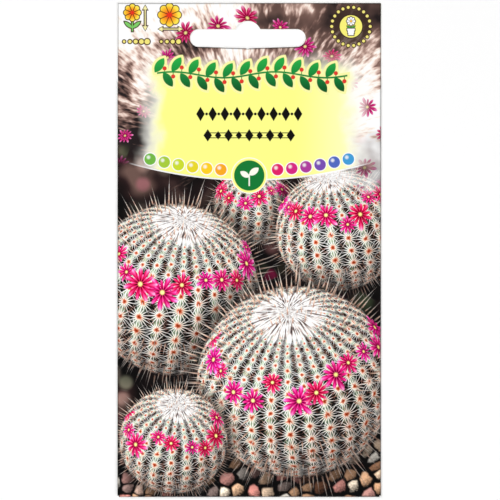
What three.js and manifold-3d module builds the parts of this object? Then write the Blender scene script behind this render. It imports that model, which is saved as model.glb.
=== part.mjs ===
// A flat paper seed packet with a hang slot. Inside it lies a small sealed sachet that holds the seeds.
// Millimetres. The packet lies on its back: X runs across it, Y up it towards the hang slot, and Z out of its front.
// The origin is the middle of the packet's outline, on the surface that it lies on.
import * as THREE from "three";
import { mergeVertices } from "three/addons/utils/BufferGeometryUtils.js";
import Module from "manifold-3d";

const wasm = await Module();
wasm.setup();

// ---- Driving dimensions ----
const WIDTH = 80;
const HEIGHT = 150;
const PAPER = 0.12; // one layer of coated paper
const GLUE = 0.04; // a dried glue line
const AIR = 0.06; // between the side flap and the front panel at the packet's edge

const SIDE_FLAP = 10; // width of the flap that the front panel turns in under itself
const BACK_INSET = 0.3; // the back panel's free edge stops this far inside the packet's edge
const BOTTOM_FLAP = 11.5; // how far the bottom flap reaches up the back
const FLAP_SHOULDER = 0.25; // the bottom flap is this much narrower than the front panel at each side
const BOTTOM_NOTCH = 0.45; // the panels' own lower edges lie this far above the outside of the bottom fold
const FLAP_TAPER = 0.07; // share of its width that the bottom flap loses towards its free edge
const RAMP = 3.2; // length over which the back panel climbs onto the bottom flap

const HEADER = 21; // height of the band at the top where front and back are glued together
const SIDE_FLAP_TOP = HEIGHT / 2 - HEADER - 3; // the side flap is cut off here, below the header

const SLOT_WIDTH = 35.2;
const SLOT_HEIGHT = 5.4;
const SLOT_DOWN = 10.6; // from the top edge to the middle of the slot
const SLOT_ASIDE = -0.45; // the slot's middle, right of the packet's: the punch hit a little to the left
const SLOT_SAG = 0.45; // how much lower the slot's bottom edge runs in the middle
const NICK_DEPTH = 0.25; // the small V in the middle of the bottom edge
const NICK_HALF = 0.6;
const HOOK_RADIUS = 4.1; // the round notch in which a display hook sits
const HOOK_RISE = 1.1; // from the slot's middle to the notch's centre

const SACHET_WIDTH = 40;
const SACHET_HEIGHT = 55;
const SACHET_AT = new THREE.Vector2(2, -22);
const FILM = 0.08;
const SEAL = 6; // width of the sachet's sealed rim
const POCKET = 1.25; // clear height inside the sachet at its middle
const BULGE = 1.4; // how far the front panel rises over the sachet

const SEEDS = 16;
const SEED_LENGTH = 1.2;
const SEED_WIDTH = 0.95;
const SEED_DEPTH = 0.9;
const SEED_SPACING = 3.4;

// ---- Heights of the layers, at the middle of each sheet ----
const half = { x: WIDTH / 2, y: HEIGHT / 2 };
const lowest = PAPER / 2;
const step = PAPER + GLUE;
const flapEdgeY = -half.y + BOTTOM_FLAP;
const slotY = half.y - SLOT_DOWN;

// 0 below from, 1 above to, and a smooth ramp between them.
const ramp = (value, from, to) => THREE.MathUtils.smoothstep(value, from, to);
// How much the packet's layers are lifted by the bottom flap that lies under them.
const liftAt = (y) => step * (1 - ramp(y, flapEdgeY + 0.3, flapEdgeY + RAMP));
const backZ = (y) => lowest + liftAt(y);
const flapZ = (y) => backZ(y) + step;
const frontEdgeZ = (y) => {
  const overFlap = flapZ(y) + PAPER + AIR;
  const gluedDown = lowest + step;
  return THREE.MathUtils.lerp(overFlap, gluedDown, ramp(y, SIDE_FLAP_TOP + 0.5, SIDE_FLAP_TOP + 3));
};

// A hump that is 1 at the sachet's middle and falls smoothly to 0 at low and at high.
const hump = (value, middle, low, high) => {
  const reach = value < middle ? middle - low : high - middle;
  const share = Math.min(1, Math.abs(value - middle) / reach);
  return Math.cos((share * Math.PI) / 2) ** 2;
};
const bulgeAt = (x, y) =>
  BULGE * hump(x, SACHET_AT.x, -half.x + 1, half.x - 1) * hump(y, SACHET_AT.y, -half.y + 2, SIDE_FLAP_TOP);

// ---- The envelope: one paper blank, creased and folded ----
// A place on the folded sheet: the middle of the paper there, and the way that its printed side faces.
const place = (x, y, z, out) => ({ middle: new THREE.Vector3(x, y, z), out });
const DOWN = new THREE.Vector3(0, 0, -1);
const UP = new THREE.Vector3(0, 0, 1);

const backPlace = (share, y) => {
  const radius = (frontEdgeZ(y) - backZ(y)) / 2;
  const x = THREE.MathUtils.lerp(-half.x + BACK_INSET, half.x - PAPER / 2 - radius, share);
  return place(x, y, backZ(y), DOWN);
};
const rightFoldPlace = (share, y) => {
  const radius = (frontEdgeZ(y) - backZ(y)) / 2;
  const angle = Math.PI * (share - 0.5);
  const out = new THREE.Vector3(Math.cos(angle), 0, Math.sin(angle));
  const x = half.x - PAPER / 2 - radius + radius * out.x;
  return place(x, y, backZ(y) + radius * (1 + out.z), out);
};
const frontPlace = (share, y) => {
  const right = half.x - PAPER / 2 - (frontEdgeZ(y) - backZ(y)) / 2;
  const left = -half.x + PAPER / 2 + (frontEdgeZ(y) - flapZ(y)) / 2;
  const x = THREE.MathUtils.lerp(right, left, share);
  return place(x, y, frontEdgeZ(y) + bulgeAt(x, y), UP);
};
const leftFoldPlace = (share, y) => {
  const radius = (frontEdgeZ(y) - flapZ(y)) / 2;
  const angle = Math.PI * (share + 0.5);
  const out = new THREE.Vector3(Math.cos(angle), 0, Math.sin(angle));
  const x = -half.x + PAPER / 2 + radius + radius * out.x;
  return place(x, y, flapZ(y) + radius * (1 + out.z), out);
};
const sideFlapPlace = (share, y) => {
  const fold = -half.x + PAPER / 2 + (frontEdgeZ(y) - flapZ(y)) / 2;
  return place(THREE.MathUtils.lerp(fold, -half.x + SIDE_FLAP, share), y, flapZ(y), DOWN);
};

// Evenly spaced shares of a panel, from 0 to 1, without the last one, which the next panel starts with.
const shares = (count) => Array.from({ length: count }, (_, i) => i / count);
const FRONT_CELLS = 16;
const columns = [
  ...shares(6).map((share) => ({ panel: "back", at: backPlace, share })),
  ...shares(6).map((share) => ({ panel: "rightFold", at: rightFoldPlace, share })),
  { panel: "front", at: frontPlace, share: 0 },
  ...shares(FRONT_CELLS).map((share) => ({
    panel: "front",
    at: frontPlace,
    share: THREE.MathUtils.lerp(FLAP_SHOULDER / WIDTH, 1 - FLAP_SHOULDER / WIDTH, share),
  })),
  { panel: "front", at: frontPlace, share: 1 - FLAP_SHOULDER / WIDTH },
  ...shares(4).map((share) => ({ panel: "leftFold", at: leftFoldPlace, share })),
  ...shares(2).map((share) => ({ panel: "sideFlap", at: sideFlapPlace, share })),
  { panel: "sideFlap", at: sideFlapPlace, share: 1 },
];
const firstFront = columns.findIndex((column) => column.panel === "front");
const lastFront = columns.findIndex((column) => column.panel === "leftFold");

// The bottom flap turns under the back panel's lower edge, on a fold of this radius.
const bottomEdgeY = -half.y + BOTTOM_NOTCH;
const bottomRadius = (frontEdgeZ(bottomEdgeY) - lowest) / 2;
const bottomFoldY = -half.y + PAPER / 2 + bottomRadius;
const tapered = (x, y) => x * (1 - (FLAP_TAPER * (y + half.y)) / BOTTOM_FLAP);
const bottomFlapRow = (y) => (column) => {
  const front = column.at(column.share, bottomEdgeY).middle;
  return place(tapered(front.x, y), y, lowest, DOWN);
};
const bottomFoldRow = (share) => (column) => {
  const front = column.at(column.share, bottomEdgeY).middle;
  const angle = Math.PI * (1.5 - share);
  const out = new THREE.Vector3(0, Math.cos(angle), Math.sin(angle));
  const y = bottomFoldY + bottomRadius * out.y;
  return place(front.x, y, lowest + bottomRadius * (1 + out.z), out);
};
const bodyRow = (y) => (column) => column.at(column.share, y);

const bodyYs = [
  ...[bottomEdgeY, -72, -68.5, -65, flapEdgeY + 0.3, flapEdgeY + 1.2, flapEdgeY + 2.2, flapEdgeY + RAMP],
  ...shares(24).map((share) => THREE.MathUtils.lerp(-56, SIDE_FLAP_TOP, share)),
  ...[SIDE_FLAP_TOP, SIDE_FLAP_TOP + 0.5, SIDE_FLAP_TOP + 1.3, SIDE_FLAP_TOP + 2.2, SIDE_FLAP_TOP + 3],
  half.y,
];
const rows = [
  ...[flapEdgeY, -69].map((y) => ({ part: "bottomFlap", at: bottomFlapRow(y) })),
  ...shares(6).map((share) => ({ part: "bottomFold", at: bottomFoldRow(share) })),
  { part: "bottomFold", at: bottomFoldRow(1) },
  ...bodyYs.map((y) => ({ part: "body", y, at: bodyRow(y) })),
];
const firstBodyRow = rows.findIndex((row) => row.part === "body");

// Whether the blank has paper between column i and i + 1, and row j and j + 1.
function hasPaper(i, j) {
  if (i < 0 || j < 0 || i >= columns.length - 1 || j >= rows.length - 1) return false;
  if (j < firstBodyRow) return i > firstFront && i < lastFront - 1;
  const inSideFlap = i >= lastFront;
  return !inSideFlap || rows[j + 1].y <= SIDE_FLAP_TOP;
}

// A closed sheet of even thickness: both faces of each cell, and a wall along each side that has no neighbour.
function sheetGeometry(columnCount, rowCount, thickness, cellExists, placeOf) {
  const positions = [];
  for (let j = 0; j < rowCount; j++)
    for (let i = 0; i < columnCount; i++) {
      const { middle, out } = placeOf(i, j);
      for (const side of [0.5, -0.5]) {
        positions.push(...middle.clone().addScaledVector(out, side * thickness).toArray());
      }
    }
  const outer = (i, j) => 2 * (j * columnCount + i);
  const inner = (i, j) => outer(i, j) + 1;
  const index = [];
  const quad = (a, b, c, d) => index.push(a, b, c, a, c, d);
  for (let j = 0; j < rowCount - 1; j++)
    for (let i = 0; i < columnCount - 1; i++) {
      if (!cellExists(i, j)) continue;
      const corners = [[i, j], [i, j + 1], [i + 1, j + 1], [i + 1, j]];
      const neighbours = [[i - 1, j], [i, j + 1], [i + 1, j], [i, j - 1]];
      quad(...corners.map((corner) => outer(...corner)));
      quad(...corners.map((corner) => inner(...corner)).reverse());
      corners.forEach((corner, k) => {
        if (cellExists(...neighbours[k])) return;
        const next = corners[(k + 1) % 4];
        quad(outer(...next), outer(...corner), inner(...corner), inner(...next));
      });
    }
  const geometry = new THREE.BufferGeometry();
  geometry.setAttribute("position", new THREE.Float32BufferAttribute(positions, 3));
  geometry.setIndex(index);
  return geometry;
}

// ---- Booleans ----
function solidFrom(geometry) {
  const bare = geometry.clone();
  for (const name of Object.keys(bare.attributes)) if (name !== "position") bare.deleteAttribute(name);
  const merged = mergeVertices(bare, 1e-4);
  const used = new Set(merged.index.array);
  if (used.size === 0) throw new Error("empty geometry");
  return new wasm.Manifold(
    new wasm.Mesh({
      numProp: 3,
      vertProperties: merged.attributes.position.array,
      triVerts: new Uint32Array(merged.index.array),
    }),
  );
}
function geometryFrom(solid) {
  const mesh = solid.getMesh();
  const geometry = new THREE.BufferGeometry();
  geometry.setAttribute("position", new THREE.BufferAttribute(new Float32Array(mesh.vertProperties), 3));
  geometry.setIndex(new THREE.BufferAttribute(new Uint32Array(mesh.triVerts), 1));
  geometry.computeVertexNormals();
  return geometry;
}

// The hang slot's outline, grown by margin: two round ends, a bottom edge that sags to a nick in its middle,
// and the hook notch on top.
function slotOutline(margin) {
  const r = SLOT_HEIGHT / 2 + margin;
  const x = SLOT_ASIDE;
  const endX = (SLOT_WIDTH - SLOT_HEIGHT) / 2;
  const hook = HOOK_RADIUS + margin;
  const hookHalf = Math.sqrt(hook ** 2 - (r - HOOK_RISE) ** 2);
  const hookAngle = Math.atan2(r - HOOK_RISE, hookHalf);
  const bottom = slotY - r - SLOT_SAG;
  const outline = new THREE.Path();
  outline.moveTo(x + endX, slotY + r);
  outline.lineTo(x + hookHalf, slotY + r);
  outline.absarc(x, slotY + HOOK_RISE, hook, hookAngle, Math.PI - hookAngle, false);
  outline.lineTo(x - endX, slotY + r);
  outline.absarc(x - endX, slotY, r, Math.PI / 2, (Math.PI * 3) / 2, false);
  outline.lineTo(x - NICK_HALF, bottom);
  outline.lineTo(x, bottom - NICK_DEPTH);
  outline.lineTo(x + NICK_HALF, bottom);
  outline.lineTo(x + endX, slotY - r);
  outline.absarc(x + endX, slotY, r, -Math.PI / 2, Math.PI / 2, false);
  return outline;
}
const CURVE_STEPS = 10;
function slotCutter() {
  const shape = new THREE.Shape(slotOutline(0).getPoints(CURVE_STEPS));
  const cutter = new THREE.ExtrudeGeometry(shape, { depth: 4, bevelEnabled: false });
  return cutter.translate(0, 0, -2);
}

function envelopeGeometry() {
  const folded = sheetGeometry(columns.length, rows.length, PAPER, hasPaper, (i, j) => rows[j].at(columns[i]));
  return geometryFrom(solidFrom(folded).subtract(solidFrom(slotCutter())));
}

// ---- Glue lines ----
function plate(width, height, thickness, x, y, bottom) {
  return new THREE.BoxGeometry(width, height, thickness).translate(x, y, bottom + thickness / 2);
}
function headerGlueGeometry() {
  const margin = { side: 1.5, top: 0.8, slot: 1.2 };
  const bottom = half.y - HEADER + 0.6;
  const shape = new THREE.Shape();
  shape.moveTo(-half.x + margin.side, bottom);
  shape.lineTo(half.x - margin.side, bottom);
  shape.lineTo(half.x - margin.side, half.y - margin.top);
  shape.lineTo(-half.x + margin.side, half.y - margin.top);
  shape.closePath();
  shape.holes.push(new THREE.Path(slotOutline(margin.slot).getPoints(CURVE_STEPS)));
  return new THREE.ExtrudeGeometry(shape, { depth: GLUE, bevelEnabled: false }).translate(0, 0, PAPER);
}

// ---- The sachet: two films with a sealed rim ----
const pocketHalf = { x: SACHET_WIDTH / 2 - SEAL, y: SACHET_HEIGHT / 2 - SEAL };
const flatTopped = (value, reach) => 1 - Math.min(1, Math.abs(value) / reach) ** 4;
const pocketAt = (x, y) => POCKET * flatTopped(x, pocketHalf.x) * flatTopped(y, pocketHalf.y);
// Grid lines from -reach to reach, one on each side of the sealed rim and count cells between.
function filmLines(reach, pocket, count) {
  const inside = Array.from({ length: count + 1 }, (_, i) => -pocket + (2 * pocket * i) / count);
  return [-reach, ...inside, reach];
}
function filmGeometry(bottom, rise) {
  const xs = filmLines(SACHET_WIDTH / 2, pocketHalf.x, 12);
  const ys = filmLines(SACHET_HEIGHT / 2, pocketHalf.y, 14);
  const placeOf = (i, j) => {
    const z = bottom + FILM / 2 + rise(xs[i], ys[j]);
    return place(SACHET_AT.x + xs[i], SACHET_AT.y + ys[j], z, DOWN);
  };
  const everywhere = (i, j) => i >= 0 && j >= 0 && i < xs.length - 1 && j < ys.length - 1;
  return sheetGeometry(xs.length, ys.length, FILM, everywhere, placeOf);
}

// ---- The seeds: small ovoids with a blunt end, strewn over the sachet's pocket ----
function seedGeometry() {
  const geometry = new THREE.SphereGeometry(0.5, 9, 7);
  const position = geometry.attributes.position;
  for (let i = 0; i < position.count; i++) {
    const along = position.getY(i);
    const slim = 1 - 0.35 * (along + 0.5) ** 2; // one end is slimmer
    position.setXYZ(
      i,
      position.getX(i) * SEED_WIDTH * slim,
      along * SEED_LENGTH,
      position.getZ(i) * SEED_DEPTH * slim,
    );
  }
  return geometry;
}
// A fixed sequence of shares from 0 to 1.
function randomFrom(seed) {
  let state = seed;
  return () => {
    state = (state * 16807) % 2147483647;
    return state / 2147483647;
  };
}
const random = randomFrom(2718);

// ---- The packet ----
const printedPaper = new THREE.MeshStandardMaterial({ color: 0xb7a596, roughness: 0.32, metalness: 0 });
const driedGlue = new THREE.MeshStandardMaterial({ color: 0xe9e4d2, roughness: 0.5, metalness: 0 });
const sachetFilm = new THREE.MeshStandardMaterial({ color: 0xd9dcdf, roughness: 0.28, metalness: 0.6 });
const seedCoat = new THREE.MeshStandardMaterial({ color: 0x3a2418, roughness: 0.6, metalness: 0 });

function named(name, geometry, material) {
  const mesh = new THREE.Mesh(geometry, material);
  mesh.name = name;
  return mesh;
}

const packet = new THREE.Group();
packet.add(named("envelope", envelopeGeometry(), printedPaper));

const seamBottom = flapEdgeY + RAMP + 1;
const seamLength = SIDE_FLAP_TOP - 1 - seamBottom;
packet.add(
  named(
    "side_seam_glue",
    plate(SIDE_FLAP - 3, seamLength, GLUE, -half.x + SIDE_FLAP / 2 + 0.5, seamBottom + seamLength / 2, PAPER),
    driedGlue,
  ),
  named(
    "bottom_flap_glue",
    plate(WIDTH - 14, BOTTOM_FLAP - 4, GLUE, 0, -half.y + BOTTOM_FLAP / 2, PAPER),
    driedGlue,
  ),
  named("header_glue", headerGlueGeometry(), driedGlue),
);

const filmBottom = PAPER;
packet.add(
  named("sachet_back_film", filmGeometry(filmBottom, () => 0), sachetFilm),
  named("sachet_front_film", filmGeometry(filmBottom + FILM, pocketAt), sachetFilm),
);

for (let n = 0; n < SEEDS; n++) {
  const seed = named(`seed_${String(n + 1).padStart(2, "0")}`, seedGeometry(), seedCoat);
  const column = (n % 4) - 1.5;
  const row = Math.floor(n / 4) - 1.5;
  seed.position.set(
    SACHET_AT.x + column * SEED_SPACING + (random() - 0.5) * 1.6,
    SACHET_AT.y + row * SEED_SPACING * 1.6 + (random() - 0.5) * 2.4,
    filmBottom + FILM + SEED_DEPTH / 2,
  );
  seed.rotation.z = random() * Math.PI * 2;
  packet.add(seed);
}

export default packet;
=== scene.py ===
"""A flat folded paper seed packet with a hang slot, and the heat-sealed sachet of seeds inside it."""
import bmesh
import bpy
import math
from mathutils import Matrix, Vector, noise


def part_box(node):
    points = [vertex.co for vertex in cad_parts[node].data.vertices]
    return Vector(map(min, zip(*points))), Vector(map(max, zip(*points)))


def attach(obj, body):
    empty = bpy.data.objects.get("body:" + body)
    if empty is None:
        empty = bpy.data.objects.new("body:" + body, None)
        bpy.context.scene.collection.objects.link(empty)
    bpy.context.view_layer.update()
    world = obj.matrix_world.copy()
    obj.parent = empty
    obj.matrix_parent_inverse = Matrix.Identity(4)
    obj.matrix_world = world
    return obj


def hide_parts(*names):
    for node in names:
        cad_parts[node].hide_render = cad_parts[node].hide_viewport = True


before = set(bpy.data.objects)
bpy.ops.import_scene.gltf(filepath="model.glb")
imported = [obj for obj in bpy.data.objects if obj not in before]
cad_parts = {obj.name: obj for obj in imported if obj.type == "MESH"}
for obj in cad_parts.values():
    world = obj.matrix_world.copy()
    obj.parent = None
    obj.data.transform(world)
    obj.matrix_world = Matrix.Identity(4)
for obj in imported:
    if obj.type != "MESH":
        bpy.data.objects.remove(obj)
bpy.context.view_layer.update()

MM = 0.001


# ---- Sizes in millimetres, from the frame where it holds them ----
def box_mm(node):
    low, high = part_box(node)
    return Vector(low) / MM, Vector(high) / MM


packet_low, packet_high = box_mm("envelope")
glue_low, glue_high = box_mm("header_glue")
film_low, film_high = box_mm("sachet_back_film")

WIDTH = packet_high.x - packet_low.x
HEIGHT = packet_high.y - packet_low.y
HALF = Vector((WIDTH / 2, HEIGHT / 2))
PAPER = glue_low.z  # only the back panel lies between the table and the header's glue
GLUE = glue_high.z - glue_low.z
AIR = 0.06  # between the side flap and the front panel
SIDE_FLAP = 10
BACK_INSET = 0.3
BOTTOM_FLAP = 11.5
FLAP_SHOULDER = 0.25
BOTTOM_NOTCH = 0.45
FLAP_TAPER = 0.07
RAMP = 3.2  # over which the back panel climbs onto the bottom flap
HEADER = 21
HEADER_RAMP = 3  # over which the front panel comes down to the header's glue
SIDE_FLAP_TOP = HALF.y - HEADER - HEADER_RAMP
SLOT_WIDTH = 35.2
SLOT_HEIGHT = 5.4
SLOT_Y = HALF.y - 10.6
SLOT_ASIDE = -0.45
SLOT_SAG = 0.45
NICK_DEPTH = 0.25
NICK_HALF = 0.6
HOOK_RADIUS = 4.1
HOOK_RISE = 1.1
SACHET = (film_low + film_high) / 2
SACHET_HALF = (film_high - film_low) / 2
BULGE = 1.4  # how far the sachet lifts the front panel
WAVES = 0.13  # the height of the front panel's own waves

LOWEST = PAPER / 2
STEP = PAPER + GLUE
FLAP_EDGE_Y = -HALF.y + BOTTOM_FLAP


# ---- The run of each layer of paper, at the middle of the sheet ----
def smooth_step(value, start, end):
    share = min(1, max(0, (value - start) / (end - start)))
    return share * share * (3 - 2 * share)


def mix(start, end, share):
    return start + (end - start) * share


def back_z(y):
    return LOWEST + STEP * (1 - smooth_step(y, FLAP_EDGE_Y + 0.3, FLAP_EDGE_Y + RAMP))


def flap_z(y):
    return back_z(y) + STEP


def front_edge_z(y):
    over_flap = flap_z(y) + PAPER + AIR
    return mix(over_flap, LOWEST + STEP, smooth_step(y, SIDE_FLAP_TOP + 0.5, SIDE_FLAP_TOP + HEADER_RAMP))


def hump(value, middle, low, high):
    """1 at the middle, falling smoothly to 0 at low and at high."""
    reach = middle - low if value < middle else high - middle
    return math.cos(min(1, abs(value - middle) / reach) * math.pi / 2) ** 2


def front_relief(x, y):
    """How far the front panel stands up: over the sachet, and in the paper's own slight waves."""
    over_x = hump(x, SACHET.x, -HALF.x + 1, HALF.x - 1)
    over_y = hump(y, SACHET.y, -HALF.y + 2, SIDE_FLAP_TOP)
    free = smooth_step(HALF.x - abs(x), 0.5, 9) * smooth_step(SIDE_FLAP_TOP - y, 0, 14)
    free *= smooth_step(y + HALF.y, 1, 12)
    broad_wave = noise.noise(Vector((x / 21, y / 27, 0.4))) * 0.5
    short_wave = noise.noise(Vector((x / 9, y / 13, 3.1))) * 0.16
    wave = broad_wave + short_wave
    return BULGE * over_x * over_y + WAVES * free * (wave + 0.25) * (1 - 0.75 * over_x * over_y)


def right_radius(y):
    return (front_edge_z(y) - back_z(y)) / 2


def left_radius(y):
    return (front_edge_z(y) - flap_z(y)) / 2


def on_back(share, y):
    x = mix(-HALF.x + BACK_INSET, HALF.x - PAPER / 2 - right_radius(y), share)
    return Vector((x, y, back_z(y)))


def on_right_fold(share, y):
    radius, angle = right_radius(y), math.pi * (share - 0.5)
    x = HALF.x - PAPER / 2 - radius + radius * math.cos(angle)
    return Vector((x, y, back_z(y) + radius * (1 + math.sin(angle))))


def on_front(share, y):
    right = HALF.x - PAPER / 2 - right_radius(y)
    left = -HALF.x + PAPER / 2 + left_radius(y)
    x = mix(right, left, share)
    return Vector((x, y, front_edge_z(y) + front_relief(x, y)))


def on_left_fold(share, y):
    radius, angle = left_radius(y), math.pi * (share + 0.5)
    x = -HALF.x + PAPER / 2 + radius + radius * math.cos(angle)
    return Vector((x, y, flap_z(y) + radius * (1 + math.sin(angle))))


def on_side_flap(share, y):
    fold = -HALF.x + PAPER / 2 + left_radius(y)
    return Vector((mix(fold, -HALF.x + SIDE_FLAP, share), y, flap_z(y)))


BOTTOM_EDGE_Y = -HALF.y + BOTTOM_NOTCH
BOTTOM_RADIUS = (front_edge_z(BOTTOM_EDGE_Y) - LOWEST) / 2
BOTTOM_FOLD_Y = -HALF.y + PAPER / 2 + BOTTOM_RADIUS


def on_bottom_fold(edge, share):
    angle = math.pi * (1.5 - share)
    y = BOTTOM_FOLD_Y + BOTTOM_RADIUS * math.cos(angle)
    return Vector((edge.x, y, LOWEST + BOTTOM_RADIUS * (1 + math.sin(angle))))


def on_bottom_flap(edge, y):
    taper = 1 - FLAP_TAPER * (y + HALF.y) / BOTTOM_FLAP
    return Vector((edge.x * taper, y, LOWEST))


# ---- The blank: its columns and rows run along the creases ----
def shares(count):
    return [n / count for n in range(count)]


FRONT_PRINT, BACK_PRINT, BARE_PAPER = range(3)
RIGHT_FOLD_STEPS = 12
LEFT_FOLD_STEPS = 10
BOTTOM_FOLD_STEPS = 10
SHOULDER_SHARE = FLAP_SHOULDER / WIDTH

COLUMNS = [(on_back, share) for share in shares(36)]
COLUMNS += [(on_right_fold, share) for share in shares(RIGHT_FOLD_STEPS)]
FIRST_FRONT = len(COLUMNS)
COLUMNS += [(on_front, 0)]
COLUMNS += [(on_front, mix(SHOULDER_SHARE, 1 - SHOULDER_SHARE, share)) for share in shares(60) + [1]]
LAST_FRONT = len(COLUMNS)
COLUMNS += [(on_left_fold, share) for share in shares(LEFT_FOLD_STEPS)]
COLUMNS += [(on_side_flap, share) for share in shares(5) + [1]]

FLAP_ROWS = [mix(FLAP_EDGE_Y, BOTTOM_FOLD_Y, share) for share in shares(5)]
FOLD_ROWS = shares(BOTTOM_FOLD_STEPS) + [1]
BODY_ROWS = [BOTTOM_EDGE_Y, -73, -71.5, -70, -68, -66, -64.5]  # over the bottom flap
BODY_ROWS += [mix(FLAP_EDGE_Y + 0.3, FLAP_EDGE_Y + RAMP, share) for share in shares(6)]
BODY_ROWS += [mix(FLAP_EDGE_Y + RAMP, SIDE_FLAP_TOP, share) for share in shares(70)]
BODY_ROWS += [mix(SIDE_FLAP_TOP, SIDE_FLAP_TOP + HEADER_RAMP, share) for share in shares(6)]
BODY_ROWS += [mix(SIDE_FLAP_TOP + HEADER_RAMP, HALF.y, share) for share in shares(12) + [1]]
FIRST_FOLD = len(FLAP_ROWS)
FIRST_BODY = FIRST_FOLD + len(FOLD_ROWS)
ROW_COUNT = FIRST_BODY + len(BODY_ROWS)


def blank_place(column, row):
    """Where the folded blank runs at this column and row, in millimetres."""
    place, share = COLUMNS[column]
    if row >= FIRST_BODY:
        return place(share, BODY_ROWS[row - FIRST_BODY])
    edge = place(share, BOTTOM_EDGE_Y)
    if row >= FIRST_FOLD:
        return on_bottom_fold(edge, FOLD_ROWS[row - FIRST_FOLD])
    return on_bottom_flap(edge, FLAP_ROWS[row])


def has_paper(column, row):
    """Whether the blank has paper between this column and row and the next ones."""
    if row < FIRST_BODY:
        return FIRST_FRONT < column < LAST_FRONT - 1
    return column < LAST_FRONT or BODY_ROWS[row - FIRST_BODY + 1] <= SIDE_FLAP_TOP


def printed_side(column, row):
    """The front's print reaches half round the folds beside it and below it."""
    first, last = FIRST_FRONT - RIGHT_FOLD_STEPS // 2, LAST_FRONT + LEFT_FOLD_STEPS // 2
    lowest = FIRST_FOLD + BOTTOM_FOLD_STEPS // 2 - 1
    if first <= column < last and row >= lowest:
        return FRONT_PRINT
    return BACK_PRINT


# ---- Meshes ----
def make_piece(name, bm, materials, slot):
    mesh = bpy.data.meshes.new(name)
    bm.to_mesh(mesh)
    bm.free()
    piece = bpy.data.objects.new(name, mesh)
    bpy.context.collection.objects.link(piece)
    for material in materials:
        mesh.materials.append(material)
    if slot:
        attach(piece, "root")
    return piece


def apply_modifiers(piece):
    graph = bpy.context.evaluated_depsgraph_get()
    mesh = bpy.data.meshes.new_from_object(piece.evaluated_get(graph))
    old = piece.data
    piece.modifiers.clear()
    piece.data = mesh
    mesh.name = piece.name
    bpy.data.meshes.remove(old)


def soften(piece, angle):
    """Smooth shading, with edges sharper than the angle left hard."""
    bm = bmesh.new()
    bm.from_mesh(piece.data)
    for face in bm.faces:
        face.smooth = True
    for edge in bm.edges:
        edge.smooth = len(edge.link_faces) == 2 and edge.calc_face_angle(0) < angle
    bm.to_mesh(piece.data)
    bm.free()


# ---- Colours and nodes ----
BLACK = (0, 0, 0, 1)


def ink(code):
    """An sRGB hex value as a linear colour."""
    parts = [int(code[n:n + 2], 16) / 255 for n in (0, 2, 4)]
    return tuple(p / 12.92 if p <= 0.04045 else ((p + 0.055) / 1.055) ** 2.4 for p in parts) + (1,)


def add(tree, kind, feeds=(), out=0, **settings):
    """Adds a node with its settings. A feed that is a socket is linked, any other is set."""
    node = tree.nodes.new("ShaderNode" + kind)
    for setting, value in settings.items():
        setattr(node, setting, value)
    for key, feed in feeds.items() if isinstance(feeds, dict) else enumerate(feeds):
        if isinstance(feed, bpy.types.NodeSocket):
            tree.links.new(feed, node.inputs[key])
        elif feed is not None:
            node.inputs[key].default_value = feed
    return node if out is None else node.outputs[out]


def calc(tree, operation, *feeds, clamp=False):
    return add(tree, "Math", feeds, operation=operation, use_clamp=clamp)


def vector_calc(tree, operation, *feeds):
    out = "Value" if operation in ("LENGTH", "DISTANCE", "DOT_PRODUCT") else "Vector"
    return add(tree, "VectorMath", feeds, out, operation=operation)


def remap(tree, value, start, end, low, high):
    """Takes start..end to low..high in a straight line, and holds it there outside."""
    return add(tree, "MapRange", [value, start, end, low, high])


def ease(tree, value, start, end, low, high):
    """Takes start..end to low..high with a smooth start and end."""
    return add(tree, "MapRange", [value, start, end, low, high], interpolation_type="SMOOTHSTEP")


def blend(tree, share, colour, other, **settings):
    return add(tree, "Mix", {0: share, 6: colour, 7: other}, 2, data_type="RGBA", **settings)


def dimmed(tree, colour, light):
    """A colour times a light, which may be over 1."""
    return blend(tree, light, BLACK, colour, clamp_factor=False)


def ramp(tree, value, stops):
    """The colour at a value, from stops of a value and an sRGB hex colour."""
    node = add(tree, "ValToRGB", [value], None)
    elements = node.color_ramp.elements
    while len(elements) > 1:
        elements.remove(elements[-1])
    for n, (place, code) in enumerate(stops):
        stop = elements[0] if n == 0 else elements.new(place)
        stop.position = place
        stop.color = ink(code)
    return node.outputs[0]


def noise_2d(tree, place, scale, detail):
    feeds = {"Vector": place, "Scale": scale, "Detail": detail}
    return add(tree, "TexNoise", feeds, noise_dimensions="2D")


def luck_of(tree, cell):
    """A number between 0 and 1 of a cell's own."""
    return add(tree, "TexWhiteNoise", {"Vector": cell}, "Value", noise_dimensions="3D")


def use_group(tree, group, feeds):
    return add(tree, "Group", feeds, None, node_tree=group).outputs


def new_material(name):
    material = bpy.data.materials.new(name)
    material.use_nodes = True
    material.node_tree.nodes.clear()
    return material, material.node_tree


def finish_material(tree, feeds, height=None, strength=0, distance=0):
    """Adds the shader, with bumps of a distance in millimetres where it has a height."""
    if height is not None:
        bump = add(tree, "Bump", {"Height": height, "Strength": strength, "Distance": distance * MM})
        feeds = feeds | {"Normal": bump}
    shader = add(tree, "BsdfPrincipled", feeds)
    add(tree, "OutputMaterial", {"Surface": shader}, None)


def plain(name, code, roughness):
    material, tree = new_material(name)
    finish_material(tree, {"Base Color": ink(code), "Roughness": roughness})
    return material


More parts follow.
